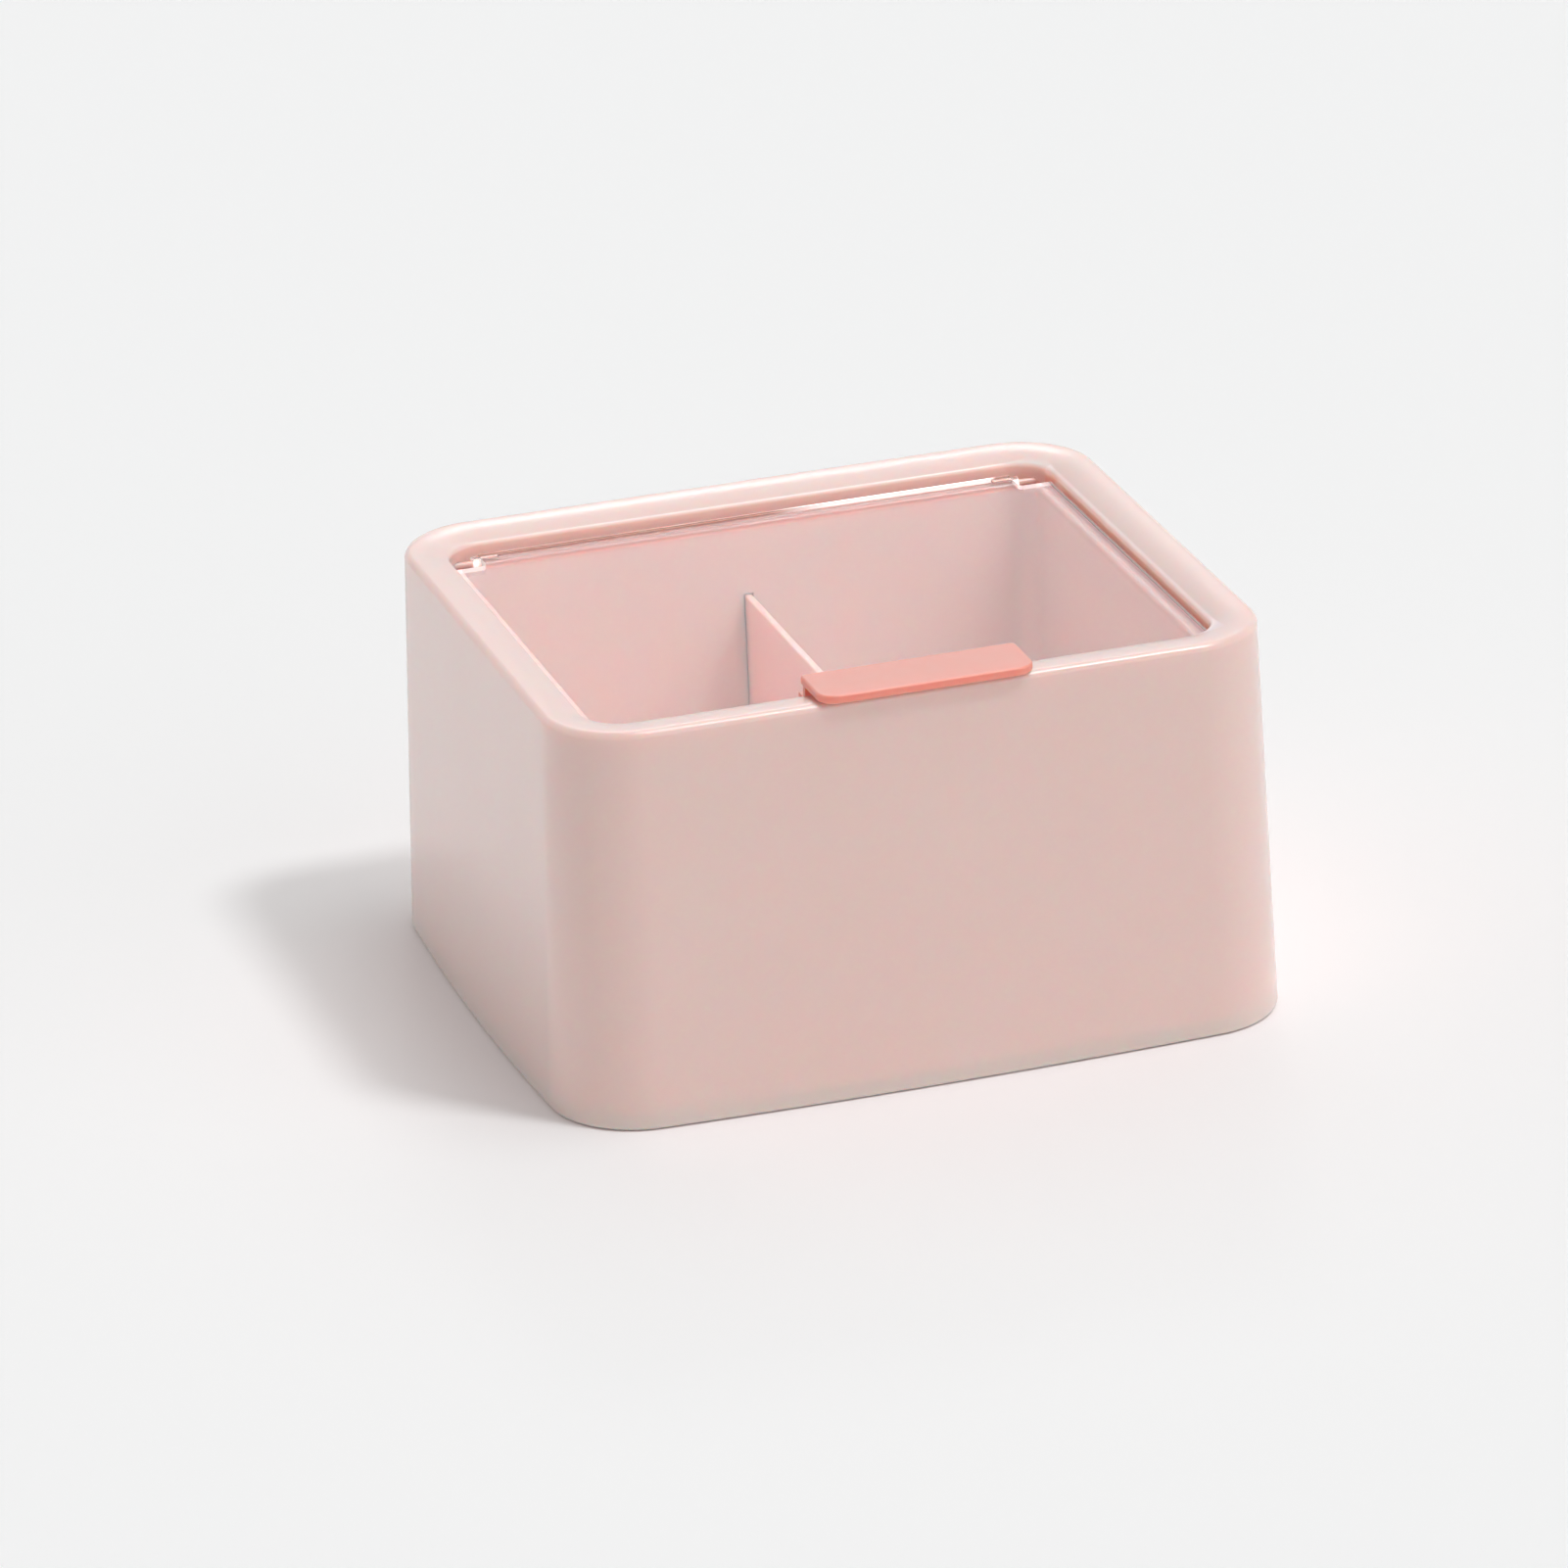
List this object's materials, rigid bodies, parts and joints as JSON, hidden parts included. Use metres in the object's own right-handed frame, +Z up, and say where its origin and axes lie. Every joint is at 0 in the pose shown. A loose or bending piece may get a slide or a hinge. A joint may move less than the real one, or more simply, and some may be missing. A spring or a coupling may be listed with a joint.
{
  "type": "lipstick storage box",
  "caption": "Tapered plastic storage box with a rolled rim, a clear flip lid with a pull tab, and an inner bin that a partition divides for upright lipsticks.",
  "frame": {"origin": "on the surface that the box stands on, under the middle of the box", "axes": "+X to the right along the box's length, +Y to the rear where the lid's hinge is, +Z up"},
  "size_m": [0.1576, 0.1376, 0.0861],
  "materials": {
    "pink_plastic": "satin",
    "coral_plastic": "satin",
    "clear_plastic": "polished",
    "steel": "plain",
    "silicone": "matte"
  },
  "bodies": {
    "box": {"outer_shell": "pink_plastic", "inner_bin": "pink_plastic", "divider": "pink_plastic", "base_cover": "pink_plastic", "base_screw_front_left": "steel", "base_screw_front_right": "steel", "base_screw_rear_left": "steel", "base_screw_rear_right": "steel", "foot_pad_front_left": "silicone", "foot_pad_front_right": "silicone", "foot_pad_rear_left": "silicone", "foot_pad_rear_right": "silicone"},
    "lid": {"lid": "clear_plastic", "pull_tab": "coral_plastic", "hinge_pin_left": "pink_plastic", "hinge_pin_right": "pink_plastic"}
  },
  "joints": [
    {"name": "lid_hinge", "type": "hinge", "parent": "box", "child": "lid", "pos_m": [0, 0.05215, 0.0787], "axis": [-1, 0, 0], "range_deg": [0, 100]}
  ]
}
